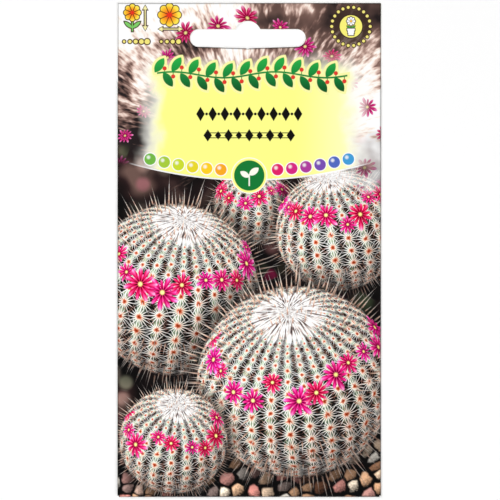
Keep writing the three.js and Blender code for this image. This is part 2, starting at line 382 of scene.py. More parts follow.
# ---- The envelope ----
def slot_cutter():
    """A bar of the hang slot's outline, from well below the packet to well above it: round ends, a lower edge
    that sags to a nick in its middle, and the round hook notch on top."""
    bar_low, bar_tall = -2, 6
    bm = bmesh.new()
    radius, end_x = SLOT_HEIGHT / 2, (SLOT_WIDTH - SLOT_HEIGHT) / 2
    hook_half = math.sqrt(HOOK_RADIUS**2 - (radius - HOOK_RISE) ** 2)
    hook_angle = math.atan2(radius - HOOK_RISE, hook_half)
    steps = 24

    def arc(centre_x, centre_y, arc_radius, start, end):
        for n in range(steps + 1):
            angle = mix(start, end, n / steps)
            yield centre_x + arc_radius * math.cos(angle), centre_y + arc_radius * math.sin(angle)

    outline = list(arc(end_x, 0, radius, -math.pi / 2, math.pi / 2))
    outline += arc(0, HOOK_RISE, HOOK_RADIUS, hook_angle, math.pi - hook_angle)
    outline += arc(-end_x, 0, radius, math.pi / 2, math.pi * 1.5)
    low = -radius - SLOT_SAG
    outline += [(-NICK_HALF, low), (0, low - NICK_DEPTH), (NICK_HALF, low)]
    corners = [Vector((SLOT_ASIDE + x, SLOT_Y + y, bar_low)) * MM for x, y in outline]
    face = bm.faces.new([bm.verts.new(corner) for corner in corners])
    raised = bmesh.ops.extrude_face_region(bm, geom=[face])["geom"]
    raised = [part for part in raised if isinstance(part, bmesh.types.BMVert)]
    bmesh.ops.translate(bm, vec=(0, 0, bar_tall * MM), verts=raised)
    for side in bm.faces:
        side.material_index = BARE_PAPER
    bmesh.ops.recalc_face_normals(bm, faces=bm.faces)
    return bm


def make_envelope(materials):
    """The flat blank is a grid, folded by moving its points, then given its thickness and its slot."""
    bm = bmesh.new()
    across, along = len(COLUMNS) - 1, ROW_COUNT - 1
    bmesh.ops.create_grid(bm, x_segments=across, y_segments=along, size=0.5)
    cells = {}
    for vert in bm.verts:
        cells[vert.index] = (round((vert.co.x + 0.5) * across), round((vert.co.y + 0.5) * along))
    for face in list(bm.faces):
        column = min(cells[v.index][0] for v in face.verts)
        row = min(cells[v.index][1] for v in face.verts)
        face.material_index = printed_side(column, row)
        if not has_paper(column, row):
            bm.faces.remove(face)
    for vert in bm.verts:
        vert.co = blank_place(*cells[vert.index]) * MM
    bmesh.ops.delete(bm, geom=[v for v in bm.verts if not v.link_faces], context="VERTS")
    bmesh.ops.delete(bm, geom=[e for e in bm.edges if not e.link_faces], context="EDGES")
    bmesh.ops.reverse_faces(bm, faces=bm.faces)
    envelope = make_piece("folded_envelope", bm, materials, "printed_paper")
    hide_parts("envelope")
    thickness = envelope.modifiers.new("paper thickness", "SOLIDIFY")
    thickness.thickness = PAPER * MM
    thickness.offset = 0
    thickness.material_offset = BARE_PAPER  # past the last slot it means the last, which is bare paper too
    thickness.material_offset_rim = BARE_PAPER
    cutter = make_piece("slot_cutter", slot_cutter(), materials, None)
    punch = envelope.modifiers.new("hang slot", "BOOLEAN")
    punch.object = cutter
    punch.operation = "DIFFERENCE"
    punch.solver = "EXACT"
    apply_modifiers(envelope)
    bpy.data.meshes.remove(cutter.data)
    soften(envelope, math.radians(35))
    lay_out_print(envelope)


def lay_out_print(envelope):
    """A UV map named OFBake for the print: over half of it for the front, then the back, then the
    bare paper, squeezed small. The slanted view of the sheet gives its cut edges some width on the map."""
    slant = 0.2
    reach = slant * packet_high.z
    tiles = {  # left, low, width, height
        FRONT_PRINT: (0, 0, 0.53, 1),
        BACK_PRINT: (0.54, 0.18, 0.46, 0.82),
        BARE_PAPER: (0.54, 0, 0.46, 0.17),
    }
    bm = bmesh.new()
    bm.from_mesh(envelope.data)
    layer = bm.loops.layers.uv.new("OFBake")
    for face in bm.faces:
        left, low, width, height = tiles[face.material_index]
        for loop in face.loops:
            place = loop.vert.co / MM
            across = (place.x + slant * place.z + HALF.x) / (WIDTH + 2 * reach)
            along = (place.y + slant * place.z + HALF.y) / (HEIGHT + 2 * reach)
            loop[layer].uv = (left + width * across, low + height * along)
    bm.to_mesh(envelope.data)
    bm.free()


def new_group(name, inputs, outputs):
    """A node group and its inputs. A name that ends in * is a vector, in # a colour, any other a number."""
    tree = bpy.data.node_groups.new(name, "ShaderNodeTree")
    kinds = {"*": "NodeSocketVector", "#": "NodeSocketColor"}
    for way, names in (("INPUT", inputs), ("OUTPUT", outputs)):
        for socket in names:
            kind = kinds.get(socket[-1], "NodeSocketFloat")
            tree.interface.new_socket(socket.rstrip("*#"), in_out=way, socket_type=kind)
    return tree, tree.nodes.new("NodeGroupInput").outputs


def close_group(tree, results):
    last = tree.nodes.new("NodeGroupOutput")
    for name, socket in results.items():
        tree.links.new(socket, last.inputs[name])
    return tree


TURN = 2 * math.pi


def right_and_up(tree, place):
    """How far a point lies to the right and up. Separate XYZ would also hold its unused Z in the shader's
    small stack, for good."""
    ways = (1, 0, 0), (0, 1, 0)
    return [vector_calc(tree, "DOT_PRODUCT", place, way) for way in ways]


def from_nearest(tree, value, pitch):
    """How far a value lies past the nearest multiple of a pitch."""
    count = calc(tree, "MULTIPLY", value, 1 / pitch)
    count = calc(tree, "ROUND", count)
    return calc(tree, "MULTIPLY_ADD", count, -pitch, value)


# ---- The printed picture: spiny globe cacti in bloom ----
ROWS_PER_RIB = 1.25  # spine clusters up a rib, in the width between two ribs


def star_group():
    """Radial spines round each point of a lattice. A cell is two spacings wide, so that spines can cross."""
    tree, given = new_group("spine star", ["Lattice*", "Seed"], ["Cover", "Along"])
    spines, width, soft = 17, 0.05, 0.035
    middle = vector_calc(tree, "ADD", given["Lattice"], (0.5, 0.5, 0))
    cell = vector_calc(tree, "FLOOR", middle)
    local = vector_calc(tree, "SUBTRACT", given["Lattice"], cell)
    local = vector_calc(tree, "MULTIPLY", local, (2, 2 / ROWS_PER_RIB, 0))
    reach = vector_calc(tree, "LENGTH", local)
    right, up = right_and_up(tree, local)
    angle = calc(tree, "ARCTAN2", up, right)
    luck = add(tree, "TexWhiteNoise", {"Vector": cell, "W": given["Seed"]}, "Value", noise_dimensions="4D")
    bend = calc(tree, "SUBTRACT", luck, 0.5)
    bend = calc(tree, "MULTIPLY_ADD", bend, reach, luck)
    turns = calc(tree, "MULTIPLY_ADD", angle, spines / TURN, bend)
    index = calc(tree, "FLOOR", turns)
    aside = calc(tree, "SUBTRACT", turns, index)
    aside = calc(tree, "SUBTRACT", aside, 0.5)
    aside = calc(tree, "ABSOLUTE", aside)
    aside = calc(tree, "MULTIPLY", aside, reach)
    each = add(tree, "CombineXYZ", [index, luck, given["Seed"]])
    length = luck_of(tree, each)
    length = remap(tree, length, 0, 1, 0.5, 1.0)
    along = calc(tree, "DIVIDE", reach, length)
    half = calc(tree, "MULTIPLY_ADD", along, -width, width)
    gap = calc(tree, "MULTIPLY_ADD", aside, -TURN / spines, half)
    cover = calc(tree, "MULTIPLY_ADD", gap, 1 / soft, 0.3, clamp=True)
    return close_group(tree, {"Cover": cover, "Along": along})


def skin_group():
    """Where a point of a globe's picture lies on its skin: round it, up it, and how near its crown."""
    tree, given = new_group("globe skin", ["Point*", "Tilt"], ["Round", "Up", "Crown", "Facing*"])
    across = vector_calc(tree, "DOT_PRODUCT", given["Point"], given["Point"])
    depth = calc(tree, "SUBTRACT", 1, across)
    depth = calc(tree, "MAXIMUM", depth, 0)
    depth = calc(tree, "POWER", depth, 0.5)
    right, up = right_and_up(tree, given["Point"])
    facing = add(tree, "CombineXYZ", [right, up, depth])
    lean = calc(tree, "SUBTRACT", math.pi / 2, given["Tilt"])
    turned = add(tree, "VectorRotate", {"Vector": facing, "Angle": lean}, rotation_type="X_AXIS")
    turned = add(tree, "SeparateXYZ", [turned], None)
    around = calc(tree, "ARCTAN2", turned.outputs[1], turned.outputs[0])
    above = calc(tree, "SUBTRACT", 1.0002, turned.outputs[2])
    below = calc(tree, "ADD", 1.0002, turned.outputs[2])
    ratio = calc(tree, "DIVIDE", above, below)
    up = calc(tree, "LOGARITHM", ratio, math.e)
    up = calc(tree, "MULTIPLY", up, 0.5)
    return close_group(tree, {"Round": around, "Up": up, "Crown": turned.outputs[2], "Facing": facing})


def fringe_group():
    """Spines that stand out past a globe's edge."""
    tree, given = new_group("fringe", ["Point*", "Strokes", "Seed", "Root", "Reach"], ["Cover", "Along"])
    width, soft = 0.011, 0.009
    reach = vector_calc(tree, "LENGTH", given["Point"])
    right, up = right_and_up(tree, given["Point"])
    angle = calc(tree, "ARCTAN2", up, right)
    turns = calc(tree, "MULTIPLY", given["Strokes"], 1 / TURN)
    turns = calc(tree, "MULTIPLY_ADD", angle, turns, given["Seed"])
    index = calc(tree, "FLOOR", turns)
    each = add(tree, "CombineXYZ", [index, given["Seed"]])
    luck = add(tree, "TexWhiteNoise", {"Vector": each}, "Color", noise_dimensions="3D")
    luck = add(tree, "SeparateColor", [luck], None)
    root = calc(tree, "MULTIPLY_ADD", luck.outputs[0], 0.14, given["Root"])
    long = calc(tree, "MULTIPLY_ADD", luck.outputs[1], given["Reach"], 0.07)
    along = calc(tree, "SUBTRACT", reach, root)
    along = calc(tree, "DIVIDE", along, long)
    slant = calc(tree, "MULTIPLY_ADD", luck.outputs[2], 0.9, -0.45)
    slant = calc(tree, "MULTIPLY_ADD", slant, along, -0.5)
    aside = calc(tree, "SUBTRACT", turns, index)
    aside = calc(tree, "ADD", aside, slant)
    aside = calc(tree, "ABSOLUTE", aside)
    pitch = calc(tree, "DIVIDE", TURN, given["Strokes"])
    pitch = calc(tree, "MULTIPLY", pitch, reach)
    aside = calc(tree, "MULTIPLY", aside, pitch)
    started = remap(tree, along, 0, 0.12, 0, 1)
    half = calc(tree, "MULTIPLY_ADD", along, -width, width)
    gap = calc(tree, "SUBTRACT", half, aside)
    cover = calc(tree, "MULTIPLY_ADD", gap, 1 / soft, 0.3, clamp=True)
    cover = calc(tree, "MULTIPLY", cover, started)
    return close_group(tree, {"Cover": cover, "Along": along})


def bloom_group():
    """Pointed double flowers in a row along a ring. Turn counts every second flower."""
    inputs = ["Turn", "Rise", "Seed", "Front", "Span"]
    tree, given = new_group("bloom", inputs, ["Cover", "Tone", "Eye", "Hue"])
    petal_count = 11
    cell = calc(tree, "ADD", given["Turn"], 0.5)
    cell = calc(tree, "FLOOR", cell)
    each = add(tree, "CombineXYZ", [cell, given["Seed"]])
    luck = add(tree, "TexWhiteNoise", {"Vector": each}, "Color", noise_dimensions="3D")
    luck = add(tree, "SeparateColor", [luck], None).outputs
    x = calc(tree, "SUBTRACT", given["Turn"], cell)
    x = calc(tree, "MULTIPLY", x, 2)
    slip = calc(tree, "MULTIPLY_ADD", luck[2], 0.3, -0.15)
    x = calc(tree, "ADD", x, slip)
    shift = calc(tree, "MULTIPLY_ADD", luck[0], 1.1, -0.55)
    y = calc(tree, "ADD", given["Rise"], shift)
    place = add(tree, "CombineXYZ", [x, y])
    reach = vector_calc(tree, "LENGTH", place)
    size = calc(tree, "MULTIPLY_ADD", luck[1], 0.36, 0.48)
    reach = calc(tree, "DIVIDE", reach, size)
    angle = calc(tree, "ARCTAN2", y, x)
    curl = calc(tree, "MULTIPLY_ADD", reach, 0.35, luck[2])
    turns = calc(tree, "MULTIPLY_ADD", angle, 2 * petal_count / TURN, curl)
    part = calc(tree, "PINGPONG", turns, 1)
    # each petal has its own length
    number = calc(tree, "MULTIPLY_ADD", turns, 0.5, 0.5)
    number = calc(tree, "FLOOR", number)
    number = add(tree, "CombineXYZ", [number, luck[0], given["Seed"]])
    own = luck_of(tree, number)
    own = calc(tree, "MULTIPLY_ADD", own, 0.3, 0.78)
    outer = calc(tree, "POWER", part, 1.7)
    outer = calc(tree, "MULTIPLY_ADD", outer, -0.5, own)
    rest = calc(tree, "SUBTRACT", 1, part)
    inner = calc(tree, "POWER", rest, 1.5)
    inner = calc(tree, "MULTIPLY_ADD", inner, -0.36, 0.66)
    cover = calc(tree, "SUBTRACT", outer, reach)
    cover = calc(tree, "MULTIPLY", cover, 12, clamp=True)
    over = calc(tree, "SUBTRACT", inner, reach)
    over = calc(tree, "MULTIPLY", over, 12, clamp=True)
    in_front = calc(tree, "COMPARE", cell, given["Front"], given["Span"])
    cover = calc(tree, "MULTIPLY", cover, in_front)
    low = calc(tree, "MULTIPLY_ADD", part, -0.55, reach)
    high = calc(tree, "MULTIPLY_ADD", rest, -0.6, reach)
    high = calc(tree, "ADD", high, 0.28)
    tone = add(tree, "Mix", {0: over, 2: low, 3: high}, data_type="FLOAT")
    eye = remap(tree, reach, 0.17, 0.08, 0, 1)
    hue = calc(tree, "MULTIPLY_ADD", luck[2], 0.045, 0.468)
    return close_group(tree, {"Cover": cover, "Tone": tone, "Eye": eye, "Hue": hue})


def petal_colour(tree, flower):
    """Magenta petals, deep at their roots and pale at their tips, round a yellow eye."""
    petal = ramp(
        tree, flower["Tone"],
        [(0.0, "520626"), (0.22, "A8104F"), (0.45, "D22F7B"), (0.65, "E2649F"), (0.95, "F2BAD4")],
    )
    petal = add(tree, "HueSaturation", {"Hue": flower["Hue"], "Color": petal})
    return blend(tree, flower["Eye"], petal, ink("F1E3A0"))


def globe_group(star, skin, fringe, bloom):
    """One ribbed globe with its spines, woolly crown and ring of flowers."""
    tree, given = new_group(
        "spiny globe",
        ["Place*", "Centre*", "Size*", "Lean", "Tilt", "Ribs", "Flowers", "Ring", "Seed"],
        ["Colour#", "Cover", "Shadow"],
    )
    point = vector_calc(tree, "SUBTRACT", given["Place"], given["Centre"])
    point = add(tree, "VectorRotate", {"Vector": point, "Angle": given["Lean"]}, rotation_type="Z_AXIS")
    point = vector_calc(tree, "DIVIDE", point, given["Size"])
    reach = vector_calc(tree, "LENGTH", point)
    body = use_group(tree, skin, {"Point": point, "Tilt": given["Tilt"]})
    per_rib = calc(tree, "MULTIPLY", given["Ribs"], 1 / TURN)
    rib = calc(tree, "MULTIPLY", body["Round"], per_rib)
    rise = calc(tree, "MULTIPLY", body["Up"], per_rib)
    # skin: light crests, dark furrows, lit from the upper left
    phase = calc(tree, "MULTIPLY", rib, TURN)
    crest = calc(tree, "COSINE", phase)
    flank = calc(tree, "SINE", phase)
    lit = vector_calc(tree, "DOT_PRODUCT", body["Facing"], (-0.42, 0.58, 0.7))
    lit = calc(tree, "MULTIPLY_ADD", flank, -0.2, lit)
    shade = ease(tree, lit, -0.35, 0.95, 0.16, 1.15)
    mottle = noise_2d(tree, given["Place"], 0.9, 3)
    green = calc(tree, "MULTIPLY_ADD", crest, 0.36, mottle)
    green = ramp(tree, green, [(0.1, "070A09"), (0.34, "243028"), (0.6, "627565"), (0.9, "A6B59A")])
    colour = dimmed(tree, green, shade)
    # spines round every areole, alternate ribs half a step up
    lattice = add(tree, "CombineXYZ", [rib, rise])
    lattice = vector_calc(tree, "MULTIPLY", lattice, (0.5, 0.5 * ROWS_PER_RIB, 0))
    cover, along = None, None
    for n, offset in enumerate([(0, 0, 0), (0.5, 0.25, 0), (0, 0.5, 0), (0.5, 0.75, 0)]):
        shifted = vector_calc(tree, "ADD", lattice, offset)
        seed = calc(tree, "ADD", given["Seed"], n * 3.7)
        rays = use_group(tree, star, {"Lattice": shifted, "Seed": seed})
        if cover is None:
            cover, along = rays["Cover"], rays["Along"]
            continue
        along = add(tree, "Mix", {0: rays["Cover"], 2: along, 3: rays["Along"]}, data_type="FLOAT")
        cover = calc(tree, "MAXIMUM", cover, rays["Cover"])
    glow = remap(tree, lit, -0.4, 0.8, 0.5, 1.1)
    spine = ramp(
        tree, along,
        [(0.0, "7A2E1C"), (0.1, "C06840"), (0.28, "F4E2D4"), (0.7, "FFFEFD"), (1.0, "D6A89A")],
    )
    spine = dimmed(tree, spine, glow)
    colour = blend(tree, cover, colour, spine)
    # woolly crown with fine dark hairs
    hairs = add(tree, "CombineXYZ", [body["Round"], body["Up"]])
    hairs = vector_calc(tree, "MULTIPLY", hairs, (14, 1.6, 0))
    hairs = noise_2d(tree, hairs, 1, 2)
    wool = ramp(tree, hairs, [(0.36, "4B3B40"), (0.45, "C9BDB8"), (0.55, "FFFFFF")])
    crown = calc(tree, "MULTIPLY_ADD", hairs, 0.1, body["Crown"])
    crown = ease(tree, crown, 0.965, 1.0, 0, 0.92)
    colour = blend(tree, crown, colour, wool)
    inside = remap(tree, reach, 1.01, 0.98, 0, 1)
    # spines past the edge, in three rounds
    rounds = [(96, 1.3, 0.6, 0.2), (118, 5.1, 0.78, 0.26), (140, 9.7, 0.88, 0.28)]
    for strokes, seed, root, length in rounds:
        feeds = {"Point": point, "Strokes": strokes, "Seed": seed, "Root": root, "Reach": length}
        edge = use_group(tree, fringe, feeds)
        straw = ramp(tree, edge["Along"], [(0.0, "6B4A40"), (0.3, "D2B8A8"), (0.8, "FFFBF7")])
        straw = dimmed(tree, straw, glow)
        colour = blend(tree, edge["Cover"], colour, straw)
        inside = calc(tree, "MAXIMUM", inside, edge["Cover"])
    # a ring of flowers, standing a little off the skin
    standing = 1.07
    lifted = add(tree, "VectorMath", {0: point, 3: 1 / standing}, operation="SCALE")
    outer = use_group(tree, skin, {"Point": lifted, "Tilt": given["Tilt"]})
    on_skin = remap(tree, reach, standing, 1.05, 0, 1)
    per_bloom = calc(tree, "MULTIPLY", given["Flowers"], 1 / TURN)
    turn = calc(tree, "MULTIPLY", outer["Round"], per_bloom)
    up = calc(tree, "SUBTRACT", outer["Up"], given["Ring"])
    up = calc(tree, "MULTIPLY", up, per_bloom)
    span = calc(tree, "MULTIPLY", given["Flowers"], 0.135)
    for n in range(2):
        half_turn = calc(tree, "MULTIPLY_ADD", turn, 0.5, 0.5 * n)
        seed = calc(tree, "ADD", given["Seed"], 5.3 * n)
        front = calc(tree, "MULTIPLY_ADD", given["Flowers"], -0.125, 0.5 * n)
        feeds = {"Turn": half_turn, "Rise": up, "Seed": seed, "Front": front, "Span": span}
        flower = use_group(tree, bloom, feeds)
        petal = petal_colour(tree, flower)
        petal = dimmed(tree, petal, glow)
        shown = calc(tree, "MULTIPLY", flower["Cover"], on_skin)
        colour = blend(tree, shown, colour, petal)
        inside = calc(tree, "MAXIMUM", inside, shown)
    shadow = ease(tree, reach, 1.3, 0.95, 0, 0.8)
    return close_group(tree, {"Colour": colour, "Cover": inside, "Shadow": shadow})


def after(tree, place, colour):
    """The same place, worked out after a colour: it makes a layer wait for the one behind it, which keeps
    the shader's stack small."""
    nothing = calc(tree, "MINIMUM", colour, 0)
    nothing = add(tree, "CombineXYZ", [nothing])
    return vector_calc(tree, "ADD", place, nothing)


def paint_picture(tree, place):
    """The picture's colour: globes on pebbles before a dark, soft plum-brown ground."""
    star, skin, fringe, bloom = star_group(), skin_group(), fringe_group(), bloom_group()
    globe = globe_group(star, skin, fringe, bloom)
    blur = noise_2d(tree, place, 0.05, 2)
    colour = ramp(tree, blur, [(0.34, "080607"), (0.46, "1D1415"), (0.56, "3F2E2E"), (0.66, "7A6660")])
    # plants and lights out of focus
    for scale, strength, seed in [(0.08, 0.5, 3.0), (0.14, 0.4, 8.0)]:
        moved = vector_calc(tree, "ADD", place, (seed, 1.7 * seed, 0))
        feeds = {"Vector": moved, "Scale": scale, "Smoothness": 0.25}
        spots = add(tree, "TexVoronoi", feeds, None, voronoi_dimensions="2D", feature="SMOOTH_F1").outputs
        part = add(tree, "SeparateColor", [spots["Color"]], None).outputs
        glow = ease(tree, spots["Distance"], 0.42, 0.16, 0, strength)
        bright = remap(tree, part[0], 0.4, 0.8, 0, 1)
        glow = calc(tree, "MULTIPLY", glow, bright)
        tint = ramp(tree, part[1], [(0.2, "7F9070"), (0.4, "F0E4D6"), (0.6, "D9B4AA"), (0.75, "E2488F")])
        colour = blend(tree, glow, colour, tint, blend_type="SCREEN")
    # pebbles about 4 mm apart, lit from the upper left
    wobble = noise_2d(tree, place, 0.5, 1)
    wobble = add(tree, "CombineXYZ", [wobble, wobble])
    loose = vector_calc(tree, "ADD", place, wobble)
    feeds = {"Vector": loose, "Scale": 0.23, "Randomness": 0.85}
    stones = add(tree, "TexVoronoi", feeds, None, voronoi_dimensions="2D").outputs
    rim = add(tree, "TexVoronoi", feeds, voronoi_dimensions="2D", feature="DISTANCE_TO_EDGE")
    rim = calc(tree, "MULTIPLY_ADD", stones["Distance"], -0.45, rim)
    kind = add(tree, "SeparateColor", [stones["Color"]], None).outputs[0]
    stone = ramp(
        tree, kind,
        [(0.0, "8C6A55"), (0.25, "D9B79A"), (0.45, "F4E7D6"), (0.62, "E3A9A0"), (0.8, "9C928D")]
        + [(1.0, "FFFBF2")],
    )
    tilt = vector_calc(tree, "SUBTRACT", loose, stones["Position"])
    tilt = vector_calc(tree, "DOT_PRODUCT", tilt, (-0.18, 0.24, 0))
    speckle = noise_2d(tree, place, 1.6, 2)
    light = calc(tree, "MULTIPLY_ADD", speckle, 0.7, tilt)
    light = calc(tree, "ADD", light, 0.36, clamp=True)
    solid = ease(tree, rim, -0.17, 0.06, 0, 1)
    light = calc(tree, "MULTIPLY", light, solid)
    stone = blend(tree, light, ink("0B0709"), stone)
    up = vector_calc(tree, "DOT_PRODUCT", place, (0, 1, 0))
    ground = calc(tree, "MULTIPLY_ADD", blur, 9, up)
    ground = ease(tree, ground, -47, -53, 0, 1)
    colour = blend(tree, ground, colour, stone)
    place = after(tree, place, colour)
    # the globes, back to front
    globes = [
        # centre, size, lean, tilt, ribs, flowers, ring, seed
        ((1, 13, 0), (12, 11.5, 1), 0.05, 0.45, 18, 14, -0.75, 51.0),
        ((27, 6, 0), (19, 18.5, 1), -0.2, 0.5, 22, 18, -0.75, 2.0),
        ((-23, -12, 0), (26, 26, 1), 0.16, 0.62, 26, 22, -0.72, 11.0),
        ((14, -40, 0), (30, 29, 1), -0.1, 0.75, 30, 24, -0.7, 23.0),
        ((-23, -58, 0), (16.5, 16, 1), 0.1, 0.8, 20, 16, -0.7, 37.0),
    ]
    for centre, size, lean, lifted, ribs, flowers, ring, seed in globes:
        feeds = {"Place": place, "Centre": centre, "Size": size, "Lean": lean, "Tilt": lifted}
        feeds |= {"Ribs": ribs, "Flowers": flowers, "Ring": ring, "Seed": seed}
        made = use_group(tree, globe, feeds)
        colour = blend(tree, made["Shadow"], colour, ink("0F0A0C"))
        colour = blend(tree, made["Cover"], colour, made["Colour"])
        place = after(tree, place, colour)
    # a hard, contrasty print
    colour = add(tree, "Gamma", [colour, 1.47])
    return blend(tree, 1.7, BLACK, colour, clamp_factor=False, clamp_result=True)


# ---- Printed shapes: each gives the distance inside its outline, in mm ----
def disc(tree, place, x, y, radius):
    reach = vector_calc(tree, "DISTANCE", place, (x, y, 0))
    return calc(tree, "SUBTRACT", radius, reach)


def bar(tree, place, x, y, half_width, half_height):
    local = vector_calc(tree, "SUBTRACT", place, (x, y, 0))
    local = vector_calc(tree, "ABSOLUTE", local)
    local = vector_calc(tree, "SUBTRACT", (half_width, half_height, 9), local)
    return calc(tree, "MINIMUM", *right_and_up(tree, local))


def lozenge(tree, place, x, y, half_width, half_height):
    local = vector_calc(tree, "SUBTRACT", place, (x, y, 0))
    local = vector_calc(tree, "ABSOLUTE", local)
    slope = Vector((half_height, half_width, 0)).normalized()
    level = vector_calc(tree, "DOT_PRODUCT", local, slope)
    return calc(tree, "SUBTRACT", half_height * slope.y, level)


def seen_from(tree, place, x, y, angle):
    """The place as seen from x, y, facing along an angle."""
    feeds = {"Vector": place, "Location": (x, y, 0), "Rotation": (0, 0, angle)}
    return add(tree, "Mapping", feeds, vector_type="TEXTURE")


def leaf(tree, place, x, y, angle, length, width):
    """A leaf that grows from x, y at an angle: two arcs that meet in its points."""
    bow = (length**2 + width**2) / (4 * width)
    middle_x, middle_y = x + length / 2 * math.cos(angle), y + length / 2 * math.sin(angle)
    local = seen_from(tree, place, middle_x, middle_y, angle)
    local = vector_calc(tree, "ABSOLUTE", local)
    reach = vector_calc(tree, "DISTANCE", local, (0, width / 2 - bow, 0))
    return calc(tree, "SUBTRACT", bow, reach)


def double_arrow(tree, place, x, y, half, angle):
    """A thin arrow with a head at each end."""
    local = seen_from(tree, place, x, y, angle)
    shaft = bar(tree, local, 0, 0, half - 0.7, 0.16)
    local = vector_calc(tree, "ABSOLUTE", local)
    right, up = right_and_up(tree, local)
    slope = calc(tree, "MULTIPLY_ADD", up, -1.8, half)
    point = calc(tree, "SUBTRACT", slope, right)
    back = calc(tree, "SUBTRACT", right, half - 1.25)
    head = calc(tree, "MINIMUM", point, back)
    return calc(tree, "MAXIMUM", shaft, head)


def petal_ring(tree, place, x, y, count, radius, petal, seam=0.0):
    """Round petals set on a circle. With a seam of that half width between them, they taper to the middle."""
    local = vector_calc(tree, "SUBTRACT", place, (x, y, 0))
    right, up = right_and_up(tree, local)
    angle = calc(tree, "ARCTAN2", up, right)
    angle = calc(tree, "PINGPONG", angle, math.pi / count)
    flat = add(tree, "CombineXYZ", [right, up])
    reach = vector_calc(tree, "LENGTH", flat)
    sine = calc(tree, "SINE", angle)
    sine = calc(tree, "MULTIPLY", sine, reach)
    cosine = calc(tree, "COSINE", angle)
    cosine = calc(tree, "MULTIPLY", cosine, reach)
    folded = add(tree, "CombineXYZ", [cosine, sine])
    inside = disc(tree, folded, radius - petal, 0, petal)
    if seam:
        edge = (math.sin(math.pi / count), -math.cos(math.pi / count), 0)
        edge = vector_calc(tree, "DOT_PRODUCT", folded, edge)
        edge = calc(tree, "SUBTRACT", edge, seam)
        short = calc(tree, "SUBTRACT", radius - petal, cosine)
        wedge = calc(tree, "MINIMUM", edge, short)
        inside = calc(tree, "MAXIMUM", inside, wedge)
        inside = calc(tree, "MINIMUM", inside, edge)
    return inside


def leaf_pair(tree, place, x, y, angle, length, width):
    """Two leaves that grow from x, y: one to the right at the angle, one to the left."""
    return [leaf(tree, place, x, y, turned, length, width) for turned in (angle, math.pi - angle)]


def joined(tree, shapes):
    inside = shapes[0]
    for shape in shapes[1:]:
        inside = calc(tree, "MAXIMUM", inside, shape)
    return inside


def stamp(tree, colour, shapes, fill, line=None, width=0.0):
    """Prints shapes as one over the colour so far, with an outline of that width where it has a colour."""
    inside = joined(tree, shapes)
    edge = 0.12  # softness of a printed edge
    for tint, grown in ((line, width), (fill, 0)):
        if tint is not None:
            cover = calc(tree, "MULTIPLY_ADD", inside, 1 / edge, 0.5 + grown / edge, clamp=True)
            colour = blend(tree, cover, colour, tint)
    return colour


# ---- The printed ornaments of the front's upper part ----
SWAG_LOW = 21.5
SWAG_RISE = 5.0  # from its lowest point to its ends
SWAG_REACH = 36.0
SEAL_RADIUS = 5.2


def swag_height(tree, x):
    """How high on the packet the swag hangs at x."""
    square = calc(tree, "MULTIPLY", x, x)
    return calc(tree, "MULTIPLY_ADD", square, SWAG_RISE / SWAG_REACH**2, SWAG_LOW)


def paint_backdrop(tree, colour, place):
    """Washed-out plants behind the upper part: pale spines that fan out, plum gaps and magenta flowers."""
    right, up = right_and_up(tree, place)
    blur = noise_2d(tree, place, 0.07, 3)
    # soft strokes, about 1.3 mm wide and 4 mm long, fan out from a point behind the panel
    fan_y = 30
    above = calc(tree, "SUBTRACT", up, fan_y)
    angle = calc(tree, "ARCTAN2", right, above)
    reach = add(tree, "CombineXYZ", [right, above])
    reach = vector_calc(tree, "LENGTH", reach)
    angle_steps = calc(tree, "MULTIPLY_ADD", blur, 0.06, angle)
    angle_steps = calc(tree, "MULTIPLY", angle_steps, 30)
    reach_steps = calc(tree, "MULTIPLY", reach, 0.24)
    fan = add(tree, "CombineXYZ", [angle_steps, reach_steps])
    strokes = noise_2d(tree, fan, 1, 2)
    # lighter at the upper left and lower right than at the other two corners
    saddle = calc(tree, "ADD", up, -54)
    saddle = calc(tree, "MULTIPLY", saddle, right)
    tone = calc(tree, "MULTIPLY_ADD", saddle, -0.0004, -0.285)
    tone = calc(tree, "MULTIPLY_ADD", blur, 0.95, tone)
    tone = calc(tree, "MULTIPLY_ADD", strokes, 0.62, tone)
    # brown, not black, along the top
    aside = calc(tree, "ABSOLUTE", right)
    brown = remap(tree, aside, 12, 28, 0.24, 0.18)
    brown = calc(tree, "MULTIPLY_ADD", blur, 0.38, brown)
    lowest = remap(tree, up, 40, 58, 0, brown)
    tone = calc(tree, "SMOOTH_MAX", tone, lowest, 0.08)
    wash = ramp(
        tree, tone,
        [(0.33, "221A1B"), (0.42, "73574F"), (0.5, "BA9A8E"), (0.56, "EBCFC2"), (0.63, "FFF6EC")]
        + [(0.7, "FFFFFF")],
    )
    # a straggling ring of flowers
    pitch, ring = 4.6, 38
    turn = calc(tree, "MULTIPLY", angle, ring / pitch / 2)
    sway = calc(tree, "MULTIPLY", angle, 4)
    sway = calc(tree, "SINE", sway)
    rise = calc(tree, "MULTIPLY_ADD", sway, 1.8, reach)
    rise = calc(tree, "MULTIPLY_ADD", rise, 1 / pitch, -ring / pitch)
    feeds = {"Turn": turn, "Rise": rise, "Seed": 71.0, "Front": 0, "Span": 99}
    flower = use_group(tree, bpy.data.node_groups["bloom"], feeds)
    petal = add(tree, "Gamma", [petal_colour(tree, flower), 1.25])
    wash = blend(tree, flower["Cover"], wash, petal)
    high = calc(tree, "MULTIPLY_ADD", blur, 30, up)
    high = ease(tree, high, 36, 50, 0, 1)
    return blend(tree, high, colour, wash)


